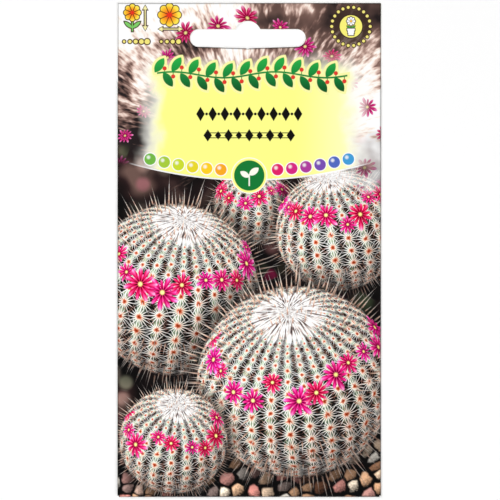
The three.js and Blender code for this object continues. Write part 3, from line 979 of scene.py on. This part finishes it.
def paint_panel(tree, colour, place):
    """A soft pale-yellow panel in a white glow, which fades at its sides and top and ends in a swag below."""
    right, up = right_and_up(tree, place)
    ragged = noise_2d(tree, place, 0.16, 2)
    aside = calc(tree, "SUBTRACT", right, 1.2)
    aside = calc(tree, "ABSOLUTE", aside)
    aside = calc(tree, "MULTIPLY_ADD", ragged, 6, aside)
    sides = ease(tree, aside, 35.5, 29, 0, 1)
    top_line = calc(tree, "MULTIPLY_ADD", ragged, 6, up)
    top = ease(tree, top_line, 61, 54, 0, 1)
    above = calc(tree, "SUBTRACT", up, swag_height(tree, right))
    below = calc(tree, "MULTIPLY_ADD", above, 8, 0.5, clamp=True)
    glow_sides = ease(tree, aside, 39, 32, 0, 0.95)
    glow_top = ease(tree, top_line, 63, 55, 0, 1)
    paling = ease(tree, right, 12, 34, 0, 0.5)
    yellow = blend(tree, paling, ink("FFFF8C"), ink("FFFDE6"))
    for across, down, tint in ((glow_sides, glow_top, ink("FFFDF4")), (sides, top, yellow)):
        cover = calc(tree, "MULTIPLY", across, down)
        cover = calc(tree, "MULTIPLY", cover, below)
        colour = blend(tree, cover, colour, tint)
    line = calc(tree, "ADD", above, 0.25)
    line = calc(tree, "ABSOLUTE", line)
    line = calc(tree, "MULTIPLY_ADD", line, -8, 2.2, clamp=True)
    ends = remap(tree, aside, 40, 34, 0, 0.95)
    line = calc(tree, "MULTIPLY", line, ends)
    return blend(tree, line, colour, ink("FFFFFF"))


def paint_garland(tree, colour, place):
    """A leafy garland on a wavy stem, shaded from light to deep green, with berries and a pale halo."""
    pitch, middle, reach = 5.2, 53.2, 28.0
    right, up = right_and_up(tree, place)

    def stem_height(x):
        wave_length, wave_height = 31.0, 0.9
        wave = calc(tree, "MULTIPLY", x, TURN / wave_length)
        wave = calc(tree, "SINE", wave)
        return calc(tree, "MULTIPLY_ADD", wave, wave_height, middle)

    leaves, berries = [], []
    for side in (1, -1):
        count = calc(tree, "MULTIPLY_ADD", right, 1 / pitch, 0.25 * side)
        count = calc(tree, "ROUND", count)
        node_x = calc(tree, "MULTIPLY_ADD", count, pitch, -0.25 * side * pitch)
        node = add(tree, "CombineXYZ", [node_x, stem_height(node_x)])
        near = vector_calc(tree, "SUBTRACT", place, node)
        far = calc(tree, "ABSOLUTE", node_x)
        beyond = calc(tree, "GREATER_THAN", far, reach)
        for shapes, shape in (
            (leaves, leaf(tree, near, -1.4, 0.1 * side, side * math.radians(57), 5.2, 2.5)),
            (leaves, bar(tree, near, 1.6, side * 0.5, 0.13, 0.6)),
            (berries, disc(tree, near, 1.6, side * 1.35, 0.62)),
        ):
            shapes.append(calc(tree, "MULTIPLY_ADD", beyond, -20, shape))
    stem = calc(tree, "SUBTRACT", up, stem_height(right))
    stem = calc(tree, "ABSOLUTE", stem)
    stem = calc(tree, "SUBTRACT", 0.26, stem)
    stem = calc(tree, "MINIMUM", stem, bar(tree, place, 0.9, middle, reach + 0.9, 3))
    leaves.append(stem)
    fall = remap(tree, up, middle + 4, middle - 4, 0, 1)
    green = ramp(tree, fall, [(0.0, "25A845"), (0.5, "15863A"), (1.0, "0E5A28")])
    colour = stamp(tree, colour, leaves + berries, green, ink("FBF9A8"), 0.75)
    return stamp(tree, colour, berries, ink("E23A2E"))


def paint_rules(tree, colour, place):
    """Two short rows of black lozenges with dots between them, in place of words."""
    right, up = right_and_up(tree, place)
    # height on the packet, lozenges to each side of the middle, their pitch and half height, rails and studs
    rows = [(41.3, 4, 3.7, 2.2, False), (34.8, 2, 6.3, 1.9, True)]
    half_width = 1.3
    for y, steps, pitch, tall, railed in rows:
        x = from_nearest(tree, right, pitch)
        x = calc(tree, "ABSOLUTE", x)
        level = calc(tree, "SUBTRACT", up, y)
        near = add(tree, "CombineXYZ", [x, level])
        shapes = [lozenge(tree, near, 0, 0, half_width, tall), disc(tree, near, pitch / 2, 0, 0.42)]
        if railed:
            shapes += [bar(tree, place, 0, y + n, steps * pitch, 0.13) for n in (-0.75, 0.75)]
            shapes.append(lozenge(tree, near, pitch / 2, 0, 1.0, 1.3))
        inside = joined(tree, shapes)
        row = bar(tree, place, 0, y, steps * pitch + half_width + 0.05, 4)
        inside = calc(tree, "MINIMUM", inside, row)
        colour = stamp(tree, colour, [inside], ink("0B0907"))
    return colour


def paint_beads(tree, colour, place):
    """Round beads along the swag, from green through red to blue."""
    pitch, radius = 4.3, 1.75
    right = vector_calc(tree, "DOT_PRODUCT", place, (1, 0, 0))
    count = calc(tree, "MULTIPLY", right, 1 / pitch)
    count = calc(tree, "ROUND", count)
    x = calc(tree, "MULTIPLY", count, pitch)
    y = calc(tree, "ADD", swag_height(tree, x), 2.6)
    centre = add(tree, "CombineXYZ", [x, y])
    near = vector_calc(tree, "SUBTRACT", place, centre)
    far = calc(tree, "ABSOLUTE", x)
    beyond = calc(tree, "GREATER_THAN", far, SWAG_REACH - 3)
    behind_seal = calc(tree, "LESS_THAN", far, SEAL_RADIUS)
    left_out = calc(tree, "ADD", beyond, behind_seal)
    bead = disc(tree, near, 0, 0, radius)
    bead = calc(tree, "MULTIPLY_ADD", left_out, -20, bead)
    order = remap(tree, x, -33, 33, 0, 1)
    hue = ramp(
        tree, order,
        [(0.0, "2FA84A"), (0.17, "C8DC2E"), (0.3, "FFD21F"), (0.42, "F58220"), (0.55, "E8243C")]
        + [(0.68, "DE1F7B"), (0.82, "7B4BB0"), (0.91, "3F6FC4"), (1.0, "46BDE8")],
    )
    colour = stamp(tree, colour, [bead], hue, ink("FFFFFF"), 0.28)
    shine = disc(tree, near, -0.5, 0.55, 0.5)
    shine = calc(tree, "MULTIPLY_ADD", left_out, -20, shine)
    shine = ease(tree, shine, -0.35, 0.3, 0, 0.75)
    return blend(tree, shine, colour, ink("FFFFFF"))


def paint_seal(tree, colour, place):
    """A plain green disc with a white sprout, where the swag is lowest."""
    x, y = 0, 22.6
    white = ink("FDFDF0")
    colour = stamp(tree, colour, [disc(tree, place, x, y, SEAL_RADIUS)], ink("FFFF8C"), white, 0.3)
    colour = stamp(tree, colour, [disc(tree, place, x, y, SEAL_RADIUS - 0.6)], ink("127A35"))
    sprout = [
        leaf(tree, place, x, y + 0.1, math.radians(38), 3.6, 1.9),
        leaf(tree, place, x, y - 0.5, math.radians(148), 3.2, 1.7),
        bar(tree, place, x, y - 1.4, 0.2, 1.8),
    ]
    return stamp(tree, colour, sprout, white)


SIGN_BROWN = "3B1D0C"


def paint_flower_sign(tree, colour, place, x, y, radius):
    """A plain flower head with eight petals, yellow at their tips and orange inside."""
    brown = ink(SIGN_BROWN)
    reach = vector_calc(tree, "DISTANCE", place, (x, y, 0))
    # yellower towards the upper right
    lean_x, lean_y = 0.16, 0.05
    lean = (lean_x / radius, lean_y / radius, 0)
    tone = vector_calc(tree, "DOT_PRODUCT", place, lean)
    tone = calc(tree, "SUBTRACT", tone, (lean_x * x + lean_y * y) / radius)
    tone = calc(tree, "MULTIPLY_ADD", reach, 1 / radius, tone)
    petal = ramp(tree, tone, [(0.2, "F0481E"), (0.4, "F7901E"), (0.66, "FDBE2A"), (0.9, "FFE552")])
    head = petal_ring(tree, place, x, y, 8, radius, radius * 0.3, 0.12)
    gaps = disc(tree, place, x, y, radius * 0.72)
    colour = stamp(tree, colour, [head, gaps], brown, brown, 0.27)
    colour = stamp(tree, colour, [head], petal)
    return stamp(tree, colour, [disc(tree, place, x, y, radius * 0.21)], ink("E8321A"))


def paint_size_dots(tree, colour, place, x, y, sizes):
    """A short row of growing dots, in place of a size in figures."""
    pitch, middle = 1.75, (len(sizes) - 1) / 2
    dots = [disc(tree, place, x + (n - middle) * pitch, y, radius) for n, radius in enumerate(sizes)]
    return stamp(tree, colour, dots, ink("F5E77E"), ink(SIGN_BROWN), 0.32)


def paint_signs(tree, colour, place):
    """Small plain signs in a top corner: how tall, and how wide."""
    brown, yellow, green = ink(SIGN_BROWN), ink("F5EDA8"), ink("7CCB66")
    dots_y = 63.3
    # how tall: a flower on its stem beside an upright arrow
    x = -35.5
    stalk = leaf_pair(tree, place, x, 67.4, math.radians(39), 3.1, 1.0)
    stalk.append(bar(tree, place, x, 68.6, 0.17, 2.2))
    colour = stamp(tree, colour, stalk, green, brown, 0.3)
    colour = paint_flower_sign(tree, colour, place, x, 72.1, 2.6)
    upright = double_arrow(tree, place, -31.6, 70.5, 3.8, math.pi / 2)
    colour = stamp(tree, colour, [upright], yellow, brown, 0.34)
    colour = paint_size_dots(tree, colour, place, -34.5, dots_y, (0.4, 0.5, 0.6, 0.7, 0.8))
    # how wide: a flower over a level arrow
    colour = paint_flower_sign(tree, colour, place, -24.2, 71.4, 3.5)
    level = double_arrow(tree, place, -23.9, 67.1, 3.7, 0)
    colour = stamp(tree, colour, [level], yellow, brown, 0.34)
    return paint_size_dots(tree, colour, place, -24.1, dots_y, (0.4, 0.5, 0.6, 0.7))


def paint_badge(tree, colour, place):
    """A potted flower in a disc, with a ring of dots round it: good in a pot."""
    x, y = 30.9, 67.9
    brown, yellow, white = ink("3A2A22"), ink("F5E77E"), ink("FFFFFF")
    reach = vector_calc(tree, "DISTANCE", place, (x, y, 0))
    dusk = ease(tree, reach, 6.4, 4.7, 0, 0.85)
    colour = blend(tree, dusk, colour, brown)
    colour = stamp(tree, colour, [petal_ring(tree, place, x, y, 22, 6.3, 0.45)], yellow, brown, 0.3)
    colour = stamp(tree, colour, [disc(tree, place, x, y, 3.4)], ink("FAF27A"), brown, 0.3)
    pot = [
        bar(tree, place, x, y - 0.95, 1.15, 0.28),
        bar(tree, place, x, y - 1.55, 0.95, 0.5),
        bar(tree, place, x, y - 2.2, 0.8, 0.45),
    ]
    stalk = leaf_pair(tree, place, x, y - 0.7, math.radians(35), 1.6, 0.65)
    stalk.append(bar(tree, place, x, y + 0.1, 0.15, 1.0))
    colour = stamp(tree, colour, stalk, ink("4F9B46"), brown, 0.1)
    colour = stamp(tree, colour, pot, white, brown, 0.24)
    flower_y = y + 1.6
    head = petal_ring(tree, place, x, flower_y, 8, 1.3, 0.36, 0.06)
    colour = stamp(tree, colour, [head], white, brown, 0.24)
    return stamp(tree, colour, [disc(tree, place, x, flower_y, 0.36)], ink("F2B51E"))


def paint_edge_shadows(tree, colour, place, slot_aside=SLOT_ASIDE):
    """Painted shade: a hair of grey along the outline and under the slot's lower edge, in place of the thin
    shadow at the paper's edges.
    """
    inside = bar(tree, place, 0, 0, HALF.x - 0.3, HALF.y - 0.3)
    # painted shade along the packet's outline
    edge_shade = remap(tree, inside, 0.1, -0.1, 0, 0.6)
    local = vector_calc(tree, "SUBTRACT", place, (slot_aside, SLOT_Y, 0))
    right, up = right_and_up(tree, local)
    aside = calc(tree, "ABSOLUTE", right)
    end_x = (SLOT_WIDTH - SLOT_HEIGHT) / 2
    beyond = calc(tree, "SUBTRACT", aside, end_x)
    beyond = calc(tree, "MAXIMUM", beyond, 0)
    sag = remap(tree, aside, 0, end_x, SLOT_SAG, 0)
    level = calc(tree, "ADD", up, sag)
    gap = add(tree, "CombineXYZ", [beyond, level])
    gap = vector_calc(tree, "LENGTH", gap)
    # painted shadow under the slot's lower edge
    slot_shadow = remap(tree, gap, SLOT_HEIGHT / 2 + 0.42, SLOT_HEIGHT / 2 + 0.22, 0, 0.8)
    lower = remap(tree, level, -1.2, -2.2, 0, 1)
    slot_shadow = calc(tree, "MULTIPLY", slot_shadow, lower)
    edge_shade = calc(tree, "MAXIMUM", edge_shade, slot_shadow)
    # the painted shade is multiplied in as grey
    return blend(tree, edge_shade, colour, ink("4A4646"), blend_type="MULTIPLY")


# ---- The back's print ----
BACK_GREEN, BACK_GREY = "1B7F3A", "B9B7A6"
COLUMN_HALF = 33  # half the width that the back's print takes


def paint_back(tree, place):
    """Pale stock that yellows upwards, with the garland, a green rule and a year strip."""
    green, grey = ink(BACK_GREEN), ink(BACK_GREY)
    right, up = right_and_up(tree, place)
    fade = remap(tree, up, 40, 75, 0, 0.9)
    colour = blend(tree, fade, ink("FBF8E6"), ink("FFFF9C"))
    colour = stamp(tree, colour, [bar(tree, place, 0, 46, COLUMN_HALF, 0.35)], green)
    colour = paint_garland(tree, colour, place)
    # a year in twelve cells, with the times to sow, to plant out and in flower
    strip_y, strip_half = 35.5, 7.4
    strip = bar(tree, place, 0, strip_y, COLUMN_HALF, strip_half)
    colour = stamp(tree, colour, [strip], ink("FFFFFF"), green, 0.3)
    month = 2 * COLUMN_HALF / 12
    x = from_nearest(tree, right, month)
    level = calc(tree, "SUBTRACT", up, strip_y)
    near = add(tree, "CombineXYZ", [x, level])
    walls = calc(tree, "MINIMUM", bar(tree, near, 0, 0, 0.12, strip_half), strip)
    colour = stamp(tree, colour, [walls], grey)
    for row, first, last, code in [(4.4, -5, -2, "8CC63E"), (0, -3, 0, "F7941E"), (-4.4, 0, 4, "E0387E")]:
        middle, half = (first + last) / 2 * month, (last - first) / 2 * month - 0.5
        colour = stamp(tree, colour, [bar(tree, place, middle, strip_y + row, half, 1.2)], ink(code))
    return colour


def paint_notes(tree, colour, place):
    """Care signs over ruled lines."""
    green, grey = ink(BACK_GREEN), ink(BACK_GREY)
    right, up = right_and_up(tree, place)
    for x in (-24, -8, 8, 24):
        colour = stamp(tree, colour, [disc(tree, place, x, 18, 5.4)], ink("FFFFFF"), green, 0.35)
    sun = [disc(tree, place, -24, 18, 1.7), petal_ring(tree, place, -24, 18, 8, 3.9, 0.5)]
    colour = stamp(tree, colour, sun, ink("F9A71B"))
    drop = [disc(tree, place, -8, 17.1, 1.9), leaf(tree, place, -8, 15.6, math.pi / 2, 6.2, 2.6)]
    colour = stamp(tree, colour, drop, ink("3E93D2"))
    glass = [disc(tree, place, 8, 15.9, 1.3), bar(tree, place, 8, 18.8, 0.55, 2.7)]
    colour = stamp(tree, colour, glass, ink("E2432D"), grey, 0.35)
    pot = [bar(tree, place, 24, 16.8, 2.2, 0.5), bar(tree, place, 24, 15.6, 1.6, 1.4)]
    colour = stamp(tree, colour, pot, ink("B5653A"))
    shoot = [leaf(tree, place, 24, 17.3, math.radians(n), 3.6, 1.4) for n in (50, 90, 130)]
    colour = stamp(tree, colour, shoot, ink("4FAE4A"))
    # ruled lines 5 mm apart
    y = from_nearest(tree, up, 5.0)
    near = add(tree, "CombineXYZ", [right, y])
    lines = [bar(tree, near, 0, 0, COLUMN_HALF, 0.1), bar(tree, place, 0, -24, COLUMN_HALF, 29)]
    lines = calc(tree, "MINIMUM", *lines)
    colour = stamp(tree, colour, [lines], grey)
    return stamp(tree, colour, [bar(tree, place, 0, -59.5, COLUMN_HALF, 0.35)], green)


def paint_back_edge_shadows(tree, colour, place):
    """The same painted edge shade on the back, where the slot lies as far to the other side."""
    return paint_edge_shadows(tree, colour, place, -SLOT_ASIDE)


# ---- Materials ----
def print_material(name, paint_first, painters, mirrored):
    """Coated paper, printed in full colour and varnished: glossy, and a little uneven over its fibres.
    The back's print is mirrored, so that it is laid out as the back is looked at."""
    material, tree = new_material(name)
    object_place = add(tree, "TexCoord", [], "Object")
    scale = (-1 / MM if mirrored else 1 / MM, 1 / MM, 0)
    place = vector_calc(tree, "MULTIPLY", object_place, scale)
    colour = paint_first(tree, place)
    for paint in painters:
        colour = paint(tree, colour, after(tree, place, colour))
    # fibres lie about 0.5 mm apart under the varnish
    fibres = add(tree, "TexNoise", {"Vector": object_place, "Scale": 1 / (0.5 * MM), "Detail": 2})
    finish_material(tree, {"Base Color": colour, "Roughness": 0.24, "IOR": 1.46}, fibres, 0.12, 0.01)
    return material


def bare_paper_material():
    """Uncoated white paper, as on cut edges and the inside: matt, with a faint cloudiness and fine fibres."""
    material, tree = new_material("bare paper")
    place = add(tree, "TexCoord", [], "Object")
    cloud = add(tree, "TexNoise", {"Vector": place, "Scale": 1 / (3 * MM), "Detail": 3})
    colour = ramp(tree, cloud, [(0.3, "ECE8DD"), (0.7, "FAF8F2")])
    # fibres 0.1 mm wide and 0.6 mm long run up the packet
    fibre_scale = (1 / (0.1 * MM), 1 / (0.6 * MM), 1 / (0.1 * MM))
    long_way = add(tree, "Mapping", {"Vector": place, "Scale": fibre_scale})
    fibres = add(tree, "TexNoise", {"Vector": long_way, "Scale": 1, "Detail": 2})
    finish_material(tree, {"Base Color": colour, "Roughness": 0.85}, fibres, 0.4, 0.02)
    return material


def dried_glue_material():
    """Thin white wood glue, dried: cloudy, smooth and half glossy."""
    material, tree = new_material("dried white glue")
    place = add(tree, "TexCoord", [], "Object")
    cloud = add(tree, "TexNoise", {"Vector": place, "Scale": 1 / (1.5 * MM), "Detail": 2})
    colour = ramp(tree, cloud, [(0.35, "DCD8C8"), (0.65, "F3F0E6")])
    finish_material(tree, {"Base Color": colour, "Roughness": 0.4}, cloud, 0.5, 0.03)
    return material


def metallised_film_material():
    """Aluminised polyester film, heat-sealed: mirror-like but wrinkled, with the jaws' ribs round its rim."""
    material, tree = new_material("metallised film")
    place = add(tree, "TexCoord", [], "Object")
    local = vector_calc(tree, "SUBTRACT", place, SACHET * MM)
    local = vector_calc(tree, "MULTIPLY", local, (1 / MM, 1 / MM, 1 / MM))
    seal = 6
    inside = bar(tree, local, 0, 0, SACHET_HALF.x - seal, SACHET_HALF.y - seal)
    rim = calc(tree, "MULTIPLY_ADD", inside, -2, 0, clamp=True)
    feeds = {"Vector": local, "Scale": 0.32, "Distortion": 0.4}  # ribs are 1.4 mm apart
    ribs = add(tree, "TexWave", feeds, "Fac", wave_type="BANDS", bands_direction="DIAGONAL")
    ribs = calc(tree, "MULTIPLY", ribs, rim)
    folds = add(tree, "TexNoise", {"Vector": local, "Scale": 0.22, "Detail": 4, "Distortion": 1.2})
    height = calc(tree, "MULTIPLY_ADD", folds, 1.6, ribs)
    rough = remap(tree, folds, 0.3, 0.7, 0.18, 0.34)
    feeds = {"Base Color": ink("DADDE0"), "Metallic": 1.0, "Roughness": rough}
    finish_material(tree, feeds, height, 0.6, 0.2)
    return material


def seed_coat_material():
    """A dry cactus seed's coat: dark brown, half matt, pitted all over."""
    material, tree = new_material("seed coat")
    place = add(tree, "TexCoord", [], "Object")
    feeds = {"Vector": place, "Scale": 1 / (0.14 * MM)}  # pits are 0.14 mm apart
    pits = add(tree, "TexVoronoi", feeds, "Distance")
    colour = ramp(tree, pits, [(0.1, "1C0E08"), (0.5, "4A2C1A"), (0.8, "6B442B")])
    finish_material(tree, {"Base Color": colour, "Roughness": 0.5}, pits, 0.8, 0.03)
    return material


front_painters = [paint_backdrop, paint_panel, paint_garland, paint_rules, paint_beads]
front_painters += [paint_seal, paint_signs, paint_badge, paint_edge_shadows]
back_painters = [paint_notes, paint_back_edge_shadows]
front_print = print_material("front print on coated paper", paint_picture, front_painters, mirrored=False)
back_print = print_material("back print on coated paper", paint_back, back_painters, mirrored=True)
make_envelope([front_print, back_print, bare_paper_material()])


# ---- What lies inside the envelope ----
def dress_inside():
    """The glue lines and films keep their solids; each seed is a rounded copy of its solid."""
    glue, film, coat = dried_glue_material(), metallised_film_material(), seed_coat_material()
    for name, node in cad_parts.items():
        if name.endswith("_glue") or name.endswith("_film"):
            node.data.materials.clear()
            node.data.materials.append(glue if name.endswith("_glue") else film)
        if name.startswith("seed_"):
            bm = bmesh.new()
            bm.from_mesh(node.data)
            bmesh.ops.remove_doubles(bm, verts=bm.verts, dist=0.001 * MM)
            seed = make_piece("rounded_" + name, bm, [coat], "seed_coat")
            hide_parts(name)
            rounding = seed.modifiers.new("rounding", "SUBSURF")
            rounding.levels = rounding.render_levels = 1
            apply_modifiers(seed)
            soften(seed, math.radians(60))


dress_inside()


# ---- Floor, light and camera ----
def make_floor():
    bm = bmesh.new()
    bmesh.ops.create_grid(bm, x_segments=1, y_segments=1, size=2)
    bmesh.ops.translate(bm, vec=(0, 0, -0.05 * MM), verts=bm.verts)  # just clear of the back's face
    floor = make_piece("floor", bm, [plain("pale floor", "FBFBFB", 0.7)], None)


def make_light(name, place, size, power):
    data = bpy.data.lights.new(name, "AREA")
    data.size = size
    data.energy = power
    light = bpy.data.objects.new(name, data)
    bpy.context.collection.objects.link(light)
    light.location = place
    light.rotation_euler = (-Vector(place)).to_track_quat("-Z", "Y").to_euler()


def make_camera():
    """Straight above, a long way off. The view is 500 pixels wide, and each shows 0.3036 mm of the packet."""
    view_width = 500 * 0.3036 * MM
    data = bpy.data.cameras.new("camera")
    data.lens = 135
    data.sensor_width = 36
    camera = bpy.data.objects.new("camera", data)
    bpy.context.collection.objects.link(camera)
    distance = view_width * data.lens / data.sensor_width
    camera.location = (0.23 * MM, 0, distance + 0.5 * MM)
    bpy.context.scene.camera = camera


make_floor()
make_light("key", (-0.7, 0.5, 0.9), 0.9, 12)
make_light("fill", (0.9, -0.3, 0.8), 0.9, 8)
make_light("low", (0.1, -0.9, 0.7), 0.8, 5.4)
world = bpy.data.worlds.new("studio")
world.use_nodes = True
world.node_tree.nodes["Background"].inputs["Color"].default_value = (0.06, 0.06, 0.06, 1)
bpy.context.scene.world = world
bpy.context.scene.view_settings.view_transform = "Standard"
make_camera()
